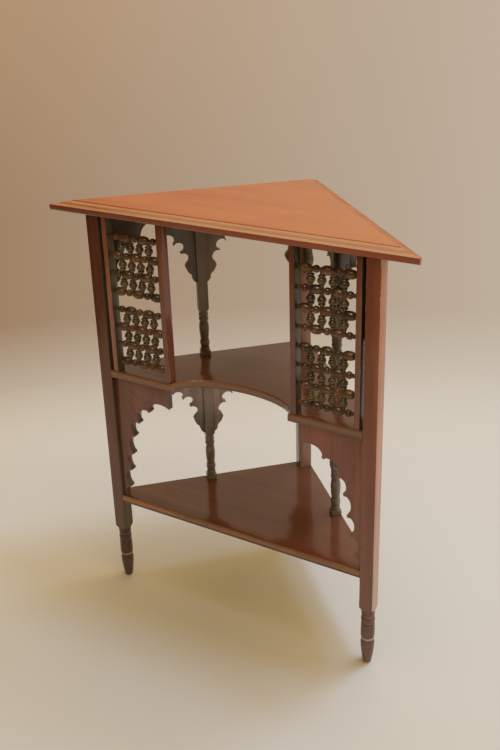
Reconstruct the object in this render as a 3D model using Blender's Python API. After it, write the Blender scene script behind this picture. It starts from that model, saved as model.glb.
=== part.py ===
# Triangular corner table in dark polished wood, in metres with +Z up.
# The long side of the triangle is the front and faces -Y. The square corner is at the back.
# The origin lies on the floor, under the middle of the top board.

import math

import bmesh
import bpy
from mathutils import Matrix, Vector

# Whole table
table_height = 0.710
clearance = 0.0003                  # left between pieces that touch
weld_distance = 0.00001
cutter_overrun = 0.010              # how far a cutter runs past what it cuts

# Top board
top_half_length = 0.3185            # middle of the front edge to the sharp corner
top_thickness = 0.0165
front_overhang = 0.015              # top board past the faces of the front legs
side_overhang = 0.026375            # top board past the sides of the shelves
front_tip_cut = 0.006               # snipped off each sharp front corner
back_tip_cut = 0.004
rim_round = 0.004                   # rounded lower edge of the rim
rim_height = 0.0100                 # underside to the top of the rim
lip_width = 0.0085
lip_step = 0.0012
ovolo_width = 0.0072
field_inset = 0.0164                # edge to the raised flat field
field_step = 0.0015

# Legs
leg_square = 0.0225
leg_inset = 0.0128                  # end of a shelf's side line to a front leg's outer face
leg_turned_height = 0.1064          # foot, below the square part
foot_sides = 12

# Shelves. The two short sides of both shelves lie on one pair of planes.
mid_shelf_share = 0.5969            # height of the upper face, over the table's
mid_shelf_thickness = 0.0138
bottom_shelf_share = 0.2507
bottom_shelf_thickness = 0.0140
shelf_edge_round = 0.0035
shelf_round_segments = 2
bay_width_share = 0.462             # concave bay, over the clear width between the legs
bay_depth = 0.0495
bay_segments = 16

# Turned posts in the middle of the short sides
post_square = 0.0168
post_shift = 0.002                  # towards the back, from the middle of the side
post_sides = 10
upper_turned_share = 0.315          # height of the turned part, over the space between the boards
lower_turned_share = 0.401

# Front panels beside the opening
stile_width = 0.009
stile_depth = 0.018
stile_setback = 0.0015              # behind the front plane
inner_stile_share = 0.4814          # inner stile's inner face, over the legs' inner faces
stile_to_leg_slot = 0.0060
row_count = 8
row_pitch_share = 0.1135            # row to row, over the space above the middle shelf
first_row_share = 0.1342            # underside of the top board to the first row's axis
bead_count = 5
bead_pitch_share = 0.1864           # bead to bead, over the length of a row
row_sides = 8
row_neck_radius = 0.0028            # in the grooves between the beads
long_bead_share = 1.16              # length of a bead, over the pitch
long_bead_radius = 0.0072
round_bead_share = 0.53
round_bead_radius = 0.0051
bobbin_neck_radius = 0.0017
bobbin_bead_radius = 0.0055
bobbin_bead_length = 0.0105
socket_floor = 0.0008               # of a bobbin's socket, above the axis of the row it stands in
bobbin_sides = 6
rows_above_the_break = 4            # rows 4 and 5 have no bobbins between them

# Front aprons
apron_inner_share = 0.5246          # apron's inner end, over the legs' inner faces
apron_recess = 0.007
apron_thickness = 0.012
apron_facet_angle = math.radians(34)

# Side brackets
bracket_reach_share = 0.478         # over the span from a front leg to a post
bracket_drop_share = 0.193          # over the table's height
bracket_thickness = 0.0105
bracket_recess = 0.0058             # behind the inner faces of the posts
bracket_facet_angle = math.radians(45)

# Square blanks are turned with a cutter a little wider than their diagonal.
blank_share = 1.2

# Scalloped edges: share of the reach, share of the drop, the arc's height over half its chord,
# and how far the arc's deepest point leans back along the chord. The first point is the square
# end, and each later line is the arc that leads from the point before it.
apron_scallop_shares = [
    (1.000, 0.165, 0.00, 0.00),
    (0.628, 0.229, 0.62, -0.30),
    (0.416, 0.341, 0.80, 0.00),
    (0.306, 0.461, 0.76, 0.20),
    (0.244, 0.619, 0.56, 0.30),
    (0.187, 0.764, 0.60, 0.30),
    (0.129, 0.917, 0.60, 0.30),
    (0.040, 1.000, 0.45, 0.00),
]
bracket_scallop_shares = [
    (1.000, 0.190, 0.00, 0.00),
    (0.794, 0.398, 0.38, 0.00),
    (0.534, 0.506, 1.00, 0.00),
    (0.368, 0.612, 1.40, 0.00),
    (0.234, 0.755, 0.85, 0.00),
    (0.232, 0.825, -0.35, 0.00),
    (0.113, 0.905, -0.12, 0.00),
    (0.000, 1.000, -0.30, 0.00),
]

# Turned outlines, from the bottom up: share of the turned height, share of half the square.
foot_profile_shares = [
    (0.000, 0.61),
    (0.123, 0.72),
    (0.240, 0.86),
    (0.348, 0.98),
    (0.415, 0.97),
    (0.455, 0.90),
    (0.590, 0.99),
    (0.715, 0.94),
    (0.752, 0.89),
    (0.800, 0.97),
    (0.855, 0.89),
    (0.905, 0.98),
    (0.975, 0.99),
]
post_profile_shares = [
    (0.126, 0.86),
    (0.150, 0.92),
    (0.188, 0.85),
    (0.255, 0.99),
    (0.310, 0.96),
    (0.355, 0.83),
    (0.440, 0.96),
    (0.560, 0.99),
    (0.660, 0.95),
    (0.735, 0.81),
    (0.770, 0.98),
    (0.810, 0.99),
    (0.838, 0.87),
    (0.875, 0.99),
    (0.930, 0.90),
]
post_plinth_share = 0.085           # square foot of a post, over its turned height

# Bead outlines: share of half the bead's length, share of its radius.
long_bead_shares = [(-0.66, 0.82), (0.00, 1.00), (0.66, 0.82)]
round_bead_shares = [(-0.48, 0.95), (0.48, 0.95)]
bobbin_bead_shares = [(-1.00, 0.31), (-0.46, 0.96), (0.46, 0.96), (1.00, 0.31)]

# Worked out from the sizes above
top_depth = top_half_length - back_tip_cut
front_plane = front_overhang - top_depth / 2
top_underside = table_height - top_thickness
mid_shelf_top = table_height * mid_shelf_share
mid_shelf_underside = mid_shelf_top - mid_shelf_thickness
bottom_shelf_top = table_height * bottom_shelf_share
upper_space = top_underside - mid_shelf_top
lower_space = mid_shelf_underside - bottom_shelf_top
corner_reach = top_half_length - front_overhang - side_overhang * math.sqrt(2)
leg_half_span = corner_reach - leg_inset
leg_inner_face = leg_half_span - leg_square
bay_half_width = leg_inner_face * bay_width_share
leg_corner_along = (leg_square + clearance - leg_inner_face) / math.sqrt(2)
post_face_gap = post_square / 2 + clearance
bracket_reach = (post_shift - post_face_gap - leg_corner_along) * bracket_reach_share
bracket_drop = table_height * bracket_drop_share
half_diagonal = leg_square / math.sqrt(2)
side_distance = corner_reach / math.sqrt(2) - post_square / 2
bracket_offset = bracket_recess + bracket_thickness / 2 - post_square / 2
back_leg_along = (corner_reach - 2 * half_diagonal) / math.sqrt(2)
inner_stile_face = leg_inner_face * inner_stile_share
outer_stile_face = leg_inner_face - stile_to_leg_slot - stile_width
panel_middle = (inner_stile_face + stile_width + outer_stile_face) / 2
row_length = outer_stile_face - inner_stile_face - stile_width - 2 * clearance
row_depth = front_plane + stile_setback + stile_depth / 2
row_pitch = upper_space * row_pitch_share
bead_pitch = row_length * bead_pitch_share

# Colours as linear red, green and blue, with roughness
top_wood = (0.47, 0.19, 0.085, 0.30)
leg_wood = (0.150, 0.040, 0.020, 0.28)
shelf_wood = (0.165, 0.050, 0.026, 0.20)
carved_wood = (0.105, 0.040, 0.022, 0.34)
bead_wood = (0.160, 0.062, 0.027, 0.25)


def clear_scene():
    for item in list(bpy.data.objects):
        bpy.data.objects.remove(item, do_unlink=True)


def wood(name, finish):
    red, green, blue, roughness = finish
    material = bpy.data.materials.new(name + "_wood")
    material.use_nodes = True
    shader = material.node_tree.nodes["Principled BSDF"]
    shader.inputs["Base Color"].default_value = (red, green, blue, 1)
    shader.inputs["Roughness"].default_value = roughness
    shader.inputs["Metallic"].default_value = 0
    material.diffuse_color = (red, green, blue, 1)
    return material


def add_object(name, mesh, finish=None, place=None):
    item = bpy.data.objects.new(name, mesh)
    bpy.context.scene.collection.objects.link(item)
    if place is not None:
        item.matrix_world = place
    if finish is None:
        item.hide_render = True
        item.display_type = "WIRE"
    else:
        item.data.materials.append(wood(name, finish))
    return item


def finish_mesh(name, shape, smooth_angle=None):
    bmesh.ops.recalc_face_normals(shape, faces=shape.faces)
    mesh = bpy.data.meshes.new(name)
    shape.to_mesh(mesh)
    shape.free()
    if smooth_angle is not None:
        mesh.shade_smooth()
        mesh.set_sharp_from_angle(angle=smooth_angle)
    return mesh


def combine(item, other, operation):
    step = item.modifiers.new(operation.lower(), "BOOLEAN")
    step.operation = operation
    step.solver = "EXACT"
    step.object = other


def extruded(outline, thickness):
    """Outline in local X and Y, extruded from local Z zero."""
    shape = bmesh.new()
    corners = [shape.verts.new((x, y, 0)) for x, y in outline]
    face = shape.faces.new(corners)
    grown = bmesh.ops.extrude_face_region(shape, geom=[face])
    raised = [part for part in grown["geom"] if isinstance(part, bmesh.types.BMVert)]
    bmesh.ops.translate(shape, verts=raised, vec=(0, 0, thickness))
    return shape


def turned(outline, sides):
    """Outline of (height, radius) points, turned round local Z and closed on the axis."""
    shape = bmesh.new()
    points = [(outline[0][0], 0), *outline, (outline[-1][0], 0)]
    line = [shape.verts.new((radius, 0, height)) for height, radius in points]
    edges = [shape.edges.new(pair) for pair in zip(line, line[1:])]
    bmesh.ops.spin(
        shape,
        geom=line + edges,
        axis=(0, 0, 1),
        cent=(0, 0, 0),
        angle=2 * math.pi,
        steps=sides,
        use_merge=True,
    )
    bmesh.ops.remove_doubles(shape, verts=shape.verts, dist=weld_distance)
    return shape


def box(x_range, y_range, z_range):
    outline = [
        (x_range[0], y_range[0]),
        (x_range[1], y_range[0]),
        (x_range[1], y_range[1]),
        (x_range[0], y_range[1]),
    ]
    shape = extruded(outline, z_range[1] - z_range[0])
    bmesh.ops.translate(shape, verts=shape.verts, vec=(0, 0, z_range[0]))
    return shape


def arc(start, end, bite, lean, facet_angle):
    """Points after the start on an arc that bites to the right of its way to the end."""
    start, end = Vector(start), Vector(end)
    half = (end - start) / 2
    aside = Vector((half.y, -half.x))
    sweep = 4 * math.atan(bite)
    steps = max(1, round(abs(sweep) / facet_angle))
    points = []
    for step in range(1, steps):
        angle = sweep * (step / steps - 0.5)
        along = math.sin(angle) / math.sin(sweep / 2)
        rise = (math.cos(angle) - math.cos(sweep / 2)) / math.sin(sweep / 2)
        points.append(start + half * (1 + along - lean * rise) + aside * rise)
    points.append(end)
    return [tuple(point) for point in points]


def scalloped_outline(reach, drop, shares, facet_angle):
    """Board outline with its corner at zero, X away from the upright and Y up."""
    first = shares[0]
    outline = [(0, 0), (reach, 0), (reach * first[0], -drop * first[1])]
    for reach_share, drop_share, bite, lean in shares[1:]:
        end = (reach * reach_share, -drop * drop_share)
        outline += arc(outline[-1], end, bite, lean, facet_angle)
    if shares[-1][0] > 0:
        outline.append((0, -drop))
    return outline


def side_direction(side):
    return Vector((-side, 1, 0)).normalized()


def side_normal(side):
    return Vector((side, 1, 0)).normalized()


def on_side(side, along, height):
    """Point in the middle plane of a short side's boards, measured from its middle."""
    origin = Vector((0, front_plane, height))
    return origin + side_normal(side) * side_distance + side_direction(side) * along


def triangle(inset):
    """Corners of the top board's outline, moved in from all three edges."""
    front = -top_depth / 2 + inset
    reach = top_half_length - inset * (1 + math.sqrt(2))
    return [(-reach, front), (reach, front), (0, front + reach)]


def top_profile():
    """Inset and height above the underside, from the bottom edge up to the field."""
    quarter = [math.radians(angle) for angle in (0, 30, 60, 90)]
    edge = [(rim_round * (1 - math.sin(a)), rim_round * (1 - math.cos(a))) for a in quarter]
    lip_top = rim_height + lip_step
    ovolo_top = top_thickness - field_step
    ovolo_rise = ovolo_top - lip_top
    edge += [(0, rim_height), (lip_width, rim_height)]
    for angle in quarter:
        inset = lip_width + ovolo_width * (1 - math.cos(angle))
        edge.append((inset, lip_top + ovolo_rise * math.sin(angle)))
    edge += [(field_inset, ovolo_top), (field_inset, top_thickness)]
    return edge


def make_top():
    shape = bmesh.new()
    rings = []
    for inset, height in top_profile():
        corners = [shape.verts.new((x, y, top_underside + height)) for x, y in triangle(inset)]
        rings.append(corners)
    for lower, upper in zip(rings, rings[1:]):
        for index in range(3):
            after = (index + 1) % 3
            shape.faces.new((lower[index], lower[after], upper[after], upper[index]))
    shape.faces.new(rings[0][::-1])
    shape.faces.new(rings[-1])
    tip = top_half_length - front_tip_cut
    snips = [((tip, 0, 0), (1, 0, 0)), ((-tip, 0, 0), (-1, 0, 0)), ((0, top_depth / 2, 0), (0, 1, 0))]
    for point, normal in snips:
        everything = shape.verts[:] + shape.edges[:] + shape.faces[:]
        cut = bmesh.ops.bisect_plane(
            shape,
            geom=everything,
            dist=weld_distance,
            plane_co=point,
            plane_no=normal,
            clear_outer=True,
        )
        rim = [part for part in cut["geom_cut"] if isinstance(part, bmesh.types.BMEdge)]
        bmesh.ops.edgeloop_fill(shape, edges=rim)
    add_object("top_board", finish_mesh("top_board", shape, math.radians(28)), top_wood)


def right_half_shelf():
    """Outline of a shelf's right half behind its front edge, from the front leg to the back leg."""
    leg_side = leg_inner_face - clearance
    leg_back = leg_square + clearance
    notch = clearance / math.sqrt(2)
    return [
        (leg_side, 0),
        (leg_side, leg_back),
        (corner_reach - leg_back, leg_back),
        (half_diagonal + notch, corner_reach - half_diagonal - notch),
    ]


def shelf_outline(front_edge):
    right = right_half_shelf()
    notch_tip = (0, corner_reach - 2 * half_diagonal - clearance * math.sqrt(2))
    left = [(-x, y) for x, y in reversed(right)]
    outline = front_edge + right + [notch_tip] + left
    return [(x, front_plane + y) for x, y in outline]


def bay_edge():
    """Half ellipse across the middle shelf's front edge, from left to right."""
    points = []
    for step in range(bay_segments + 1):
        angle = math.pi * (1 - step / bay_segments)
        points.append((bay_half_width * math.cos(angle), bay_depth * math.sin(angle)))
    return points


def make_shelf(name, outline, front_count, top, thickness):
    """Extrude a shelf and round the edges along its front, bay included."""
    shape = extruded(outline, thickness)
    bmesh.ops.translate(shape, verts=shape.verts, vec=(0, 0, top - thickness))
    front = {tuple(round(value, 6) for value in point) for point in outline[:front_count]}
    front |= {tuple(round(value, 6) for value in outline[-1])}

    def is_front(vert):
        return (round(vert.co.x, 6), round(vert.co.y, 6)) in front

    edges = []
    for edge in shape.edges:
        one, two = edge.verts
        level = abs(one.co.z - two.co.z) < weld_distance
        if level and is_front(one) and is_front(two):
            edges.append(edge)
    bmesh.ops.bevel(
        shape,
        geom=edges,
        offset=shelf_edge_round,
        segments=shelf_round_segments,
        affect="EDGES",
    )
    add_object(name, finish_mesh(name, shape, math.radians(35)), shelf_wood)


def make_shelves():
    bay = bay_edge()
    mid_outline = shelf_outline(bay)
    make_shelf("mid_shelf", mid_outline, len(bay) + 1, mid_shelf_top, mid_shelf_thickness)
    bottom_outline = shelf_outline([])
    make_shelf("bottom_shelf", bottom_outline, 1, bottom_shelf_top, bottom_shelf_thickness)


def square_blank(square, bottom, top):
    half = square / 2
    return box((-half, half), (-half, half), (bottom, top))


def shaped_upright(name, blank, outline, sides, place, finish):
    """A square blank, turned down where the outline is narrower than it."""
    item = add_object(name, finish_mesh(name, blank), finish, place)
    cutter_name = name + "_turning"
    cutter_mesh = finish_mesh(cutter_name, turned(outline, sides), math.radians(40))
    cutter = add_object(cutter_name, cutter_mesh, None, place)
    combine(item, cutter, "INTERSECT")


def make_leg(name, place):
    half = leg_square / 2
    wide = half_diagonal * blank_share
    top = top_underside - clearance
    outline = [
        (leg_turned_height * height_share, half * radius_share)
        for height_share, radius_share in foot_profile_shares
    ]
    shoulder = leg_turned_height + wide - half
    outline += [(shoulder, wide), (top + cutter_overrun, wide)]
    blank = square_blank(leg_square, -cutter_overrun, top)
    shaped_upright(name, blank, outline, foot_sides, place, leg_wood)


def make_legs():
    across = leg_half_span - leg_square / 2
    depth = front_plane + leg_square / 2
    make_leg("left_front_leg", Matrix.Translation((-across, depth, 0)))
    make_leg("right_front_leg", Matrix.Translation((across, depth, 0)))
    corner = Matrix.Translation((0, front_plane + corner_reach - half_diagonal, 0))
    make_leg("back_leg", corner @ Matrix.Rotation(math.pi / 4, 4, "Z"))


def make_post(name, side, bottom, top, turned_height):
    half = post_square / 2
    wide = half * math.sqrt(2) * blank_share
    base = bottom + clearance
    head = top - clearance
    plinth = base + turned_height * post_plinth_share
    outline = [(base - cutter_overrun, wide), (plinth, wide)]
    for height_share, radius_share in post_profile_shares:
        outline.append((base + turned_height * height_share, half * radius_share))
    outline += [(base + turned_height + wide - half, wide), (head + cutter_overrun, wide)]
    place = Matrix.Translation(on_side(side, post_shift, 0)) @ Matrix.Rotation(math.pi / 4, 4, "Z")
    blank = square_blank(post_square, base, head)
    shaped_upright(name, blank, outline, post_sides, place, carved_wood)


def make_posts():
    for word, side in (("left", -1), ("right", 1)):
        upper_turned = upper_space * upper_turned_share
        lower_turned = lower_space * lower_turned_share
        make_post(f"upper_{word}_post", side, mid_shelf_top, top_underside, upper_turned)
        make_post(f"lower_{word}_post", side, bottom_shelf_top, mid_shelf_underside, lower_turned)


def bracket_mesh(name, extra):
    """Scalloped board, with some extra length behind its upright end for a mitre."""
    outline = scalloped_outline(
        bracket_reach, bracket_drop, bracket_scallop_shares, bracket_facet_angle
    )
    if extra:
        outline = outline[1:-1] + [(0, -bracket_drop), (-extra, -bracket_drop), (-extra, 0)]
    shape = extruded(outline, bracket_thickness)
    bmesh.ops.translate(shape, verts=shape.verts, vec=(0, 0, -bracket_thickness / 2))
    return finish_mesh(name, shape, math.radians(30))


def make_bracket(name, side, heading, along, top, extra, trim=None):
    """Board under a top or shelf, heading +1 towards the back and -1 towards the front."""
    outwards = side_direction(side) * heading
    up = Vector((0, 0, 1))
    place = Matrix((outwards, up, outwards.cross(up))).transposed().to_4x4()
    place.translation = on_side(side, along, top - clearance) + side_normal(side) * bracket_offset
    item = add_object(name, bracket_mesh(name, extra), carved_wood, place)
    if trim is not None:
        combine(item, trim, "DIFFERENCE")


def make_brackets():
    leg_back = leg_square + clearance
    reach = (-corner_reach, corner_reach)
    trim_shape = box(reach, (front_plane - cutter_overrun, front_plane + leg_back), (0, table_height))
    trim = add_object("leg_back_trim", finish_mesh("leg_back_trim", trim_shape))
    for tier, top in (("upper", top_underside), ("lower", mid_shelf_underside)):
        for word, side in (("left", -1), ("right", 1)):
            start = f"{word}_{tier}_bracket"
            make_bracket(start + "_front_leg", side, 1, leg_corner_along, top, bracket_thickness, trim)
            make_bracket(start + "_post_front", side, -1, post_shift - post_face_gap, top, 0)
            make_bracket(start + "_post_back", side, 1, post_shift + post_face_gap, top, 0)
            make_bracket(start + "_back_leg", side, -1, back_leg_along - clearance, top, 0)


def make_stiles():
    depth = front_plane + stile_setback
    y_range = (depth, depth + stile_depth)
    z_range = (mid_shelf_top + clearance, top_underside - clearance)
    for word, side in (("left", -1), ("right", 1)):
        for part, face in (("inner", inner_stile_face), ("outer", outer_stile_face)):
            x_range = sorted((side * face, side * (face + stile_width)))
            name = f"{word}_{part}_stile"
            add_object(name, finish_mesh(name, box(x_range, y_range, z_range)), leg_wood)


def bead(middle, length, radius, shares):
    return [(middle + length / 2 * along, radius * wide) for along, wide in shares]


def row_mesh(name, long_first):
    """Turned lattice row along local Z, with long and round beads by turns."""
    long_length = bead_pitch * long_bead_share
    round_length = bead_pitch * round_bead_share
    long_reach = (bead_pitch + (long_length - round_length) / 2) / 2
    long_bead = (long_reach, long_length, long_bead_radius, long_bead_shares)
    round_bead = (bead_pitch - long_reach, round_length, round_bead_radius, round_bead_shares)
    outline = [(-row_length / 2, row_neck_radius)]
    for index in range(bead_count):
        middle = (index - (bead_count - 1) / 2) * bead_pitch
        is_long = (index % 2 == 0) == long_first
        reach, length, radius, shares = long_bead if is_long else round_bead
        outline.append((middle - reach, row_neck_radius))
        outline += bead(middle, length, radius, shares)
    outline.append((middle + reach, row_neck_radius))
    outline.append((row_length / 2, row_neck_radius))
    return finish_mesh(name, turned(outline, row_sides), math.radians(50))


def between_beads(name, outline):
    """Upright copies of one turned outline, one between each pair of beads of a row."""
    shape = bmesh.new()
    pattern = turned(outline, bobbin_sides)
    single = bpy.data.meshes.new(name + "_single")
    pattern.to_mesh(single)
    pattern.free()
    for index in range(bead_count - 1):
        shape.from_mesh(single)
        new = shape.verts[-len(single.vertices):]
        across = (index - (bead_count - 2) / 2) * bead_pitch
        bmesh.ops.translate(shape, verts=new, vec=(across, 0, 0))
    bpy.data.meshes.remove(single)
    return finish_mesh(name, shape, math.radians(50))


def bobbin_mesh(name):
    """Bobbins that hang from a row's axis and end in the sockets of the row below."""
    foot = socket_floor + clearance - row_pitch
    outline = [(foot, bobbin_neck_radius)]
    outline += bead(-row_pitch / 2, bobbin_bead_length, bobbin_bead_radius, bobbin_bead_shares)
    outline.append((0, bobbin_neck_radius))
    return between_beads(name, outline)


def socket_mesh(name):
    """Drills for the sockets in which the bobbins of the row above end."""
    radius = bobbin_neck_radius + clearance / math.cos(math.pi / bobbin_sides)
    return between_beads(name, [(socket_floor, radius), (long_bead_radius, radius)])


def make_lattice():
    rows = {True: row_mesh("long_first_row", True), False: row_mesh("round_first_row", False)}
    bobbins = bobbin_mesh("row_bobbins")
    sockets = socket_mesh("row_sockets")
    lying = Matrix.Rotation(math.pi / 2, 4, "Y")
    for word, side in (("left", -1), ("right", 1)):
        for number in range(1, row_count + 1):
            height = top_underside - upper_space * first_row_share - (number - 1) * row_pitch
            middle = Matrix.Translation((side * panel_middle, row_depth, height))
            long_first = (number % 2 == 1) == (side > 0)
            name = f"{word}_lattice_row_{number}"
            item = add_object(name, rows[long_first].copy(), bead_wood, middle @ lying)
            if number not in (1, rows_above_the_break + 1):
                drills = add_object(name + "_sockets", sockets, None, middle)
                combine(item, drills, "DIFFERENCE")
            if number not in (rows_above_the_break, row_count):
                hung = add_object(name + "_bobbins", bobbins, None, middle)
                combine(item, hung, "UNION")


def make_aprons():
    reach = leg_inner_face * (1 - apron_inner_share) - clearance
    top = mid_shelf_underside - clearance
    drop = top - bottom_shelf_top - clearance
    outline = scalloped_outline(reach, drop, apron_scallop_shares, apron_facet_angle)
    up = Vector((0, 0, 1))
    for word, side in (("left", -1), ("right", 1)):
        inwards = Vector((-side, 0, 0))
        across = inwards.cross(up)
        place = Matrix((inwards, up, across)).transposed().to_4x4()
        middle = front_plane + apron_recess + apron_thickness / 2
        start = Vector((side * (leg_inner_face - clearance), middle, top))
        place.translation = start - across * apron_thickness / 2
        name = word + "_apron"
        mesh = finish_mesh(name, extruded(outline, apron_thickness), math.radians(30))
        add_object(name, mesh, leg_wood, place)


clear_scene()
make_top()
make_legs()
make_shelves()
make_posts()
make_brackets()
make_stiles()
make_lattice()
make_aprons()
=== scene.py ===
import math

import bmesh
import bpy
from mathutils import Matrix, Vector


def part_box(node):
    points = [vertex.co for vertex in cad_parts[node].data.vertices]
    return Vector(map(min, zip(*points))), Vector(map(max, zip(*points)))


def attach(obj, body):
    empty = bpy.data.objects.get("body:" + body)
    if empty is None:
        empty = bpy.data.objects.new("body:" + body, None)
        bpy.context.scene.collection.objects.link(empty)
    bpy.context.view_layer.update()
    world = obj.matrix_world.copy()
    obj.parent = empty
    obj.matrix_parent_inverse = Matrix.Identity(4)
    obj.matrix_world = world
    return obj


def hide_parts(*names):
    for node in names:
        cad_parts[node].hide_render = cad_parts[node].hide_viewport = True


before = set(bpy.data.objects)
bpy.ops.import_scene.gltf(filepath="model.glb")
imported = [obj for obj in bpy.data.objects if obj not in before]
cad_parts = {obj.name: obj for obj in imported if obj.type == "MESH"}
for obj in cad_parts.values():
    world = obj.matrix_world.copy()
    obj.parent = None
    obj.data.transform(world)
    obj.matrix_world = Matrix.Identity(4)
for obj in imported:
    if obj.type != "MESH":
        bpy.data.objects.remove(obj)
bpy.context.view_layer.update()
print("frame loaded")

# Places shared by all pieces, read from the solids
legLow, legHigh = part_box("right_front_leg")
postLow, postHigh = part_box("upper_right_post")
topLow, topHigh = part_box("top_board")
rootTwo = math.sqrt(2)
frontPlane = legLow.y
legSquare = legHigh.x - legLow.x
postSquare = (postHigh.x - postLow.x) / rootTwo
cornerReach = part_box("back_leg")[1].y - frontPlane  # front plane to the square corner of the shelves
gap = topLow.z - legHigh.z  # left between pieces that touch


# Node trees

def pick(sockets, key):  # by index, identifier or name
    if isinstance(key, int):
        return sockets[key]
    for socket in sockets:
        if key == socket.identifier:
            return socket
    return sockets[key]


class Signal:  # one output of a node, ready for sums

    def __init__(self, sheet, socket):
        self.sheet = sheet
        self.socket = socket

    def join(self, operation, first, second):
        return self.sheet.add("ShaderNodeMath", {"operation": operation}, {0: first, 1: second})

    def __add__(self, other):
        return self.join("ADD", self, other)

    def __radd__(self, other):
        return self.join("ADD", other, self)

    def __sub__(self, other):
        return self.join("SUBTRACT", self, other)

    def __rsub__(self, other):
        return self.join("SUBTRACT", other, self)

    def __mul__(self, other):
        return self.join("MULTIPLY", self, other)

    def __rmul__(self, other):
        return self.join("MULTIPLY", other, self)

    def __truediv__(self, other):
        return self.join("DIVIDE", self, other)

    def __mod__(self, other):
        return self.join("FLOORED_MODULO", self, other)


class NodeSheet:  # a node tree and the one way to add to it

    def __init__(self, tree):
        self.tree = tree

    def add(self, kind, settings=None, values=None, output=0):
        node = self.tree.nodes.new(kind)
        for name, value in (settings or {}).items():
            if name == "stops":
                self.setStops(node.color_ramp, value)
            else:
                setattr(node, name, value)
        for key, value in (values or {}).items():
            self.feed(pick(node.inputs, key), value)
        return Signal(self, pick(node.outputs, output)) if node.outputs else node

    def feed(self, socket, value):
        if isinstance(value, (list, tuple)) and value and isinstance(value[0], Signal):
            for one in value:
                self.tree.links.new(one.socket, socket)
        elif isinstance(value, Signal):
            self.tree.links.new(value.socket, socket)
        else:
            socket.default_value = value

    def setStops(self, ramp, stops):
        while len(ramp.elements) < len(stops):
            ramp.elements.new(1)
        for element, (position, colour) in zip(ramp.elements, stops):
            element.position = position
            element.color = (*colour, 1)

    def blend(self, factor, first, second, mode="MIX"):
        first, second = [(*end, 1) if isinstance(end, tuple) else end for end in (first, second)]
        settings = {"data_type": "RGBA", "blend_type": mode}
        values = {"Factor_Float": factor, "A_Color": first, "B_Color": second}
        return self.add("ShaderNodeMix", settings, values, "Result_Color")

    def ramp(self, value, low, high):  # 0 below low, 1 above high
        values = {"Value": value, "From Min": low, "From Max": high}
        return self.add("ShaderNodeMapRange", {"clamp": True}, values)

    def noise(self, place, scale, detail=2, distortion=0):
        values = {"Vector": place, "Scale": scale, "Detail": detail, "Distortion": distortion}
        return self.add("ShaderNodeTexNoise", {}, values)


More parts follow.
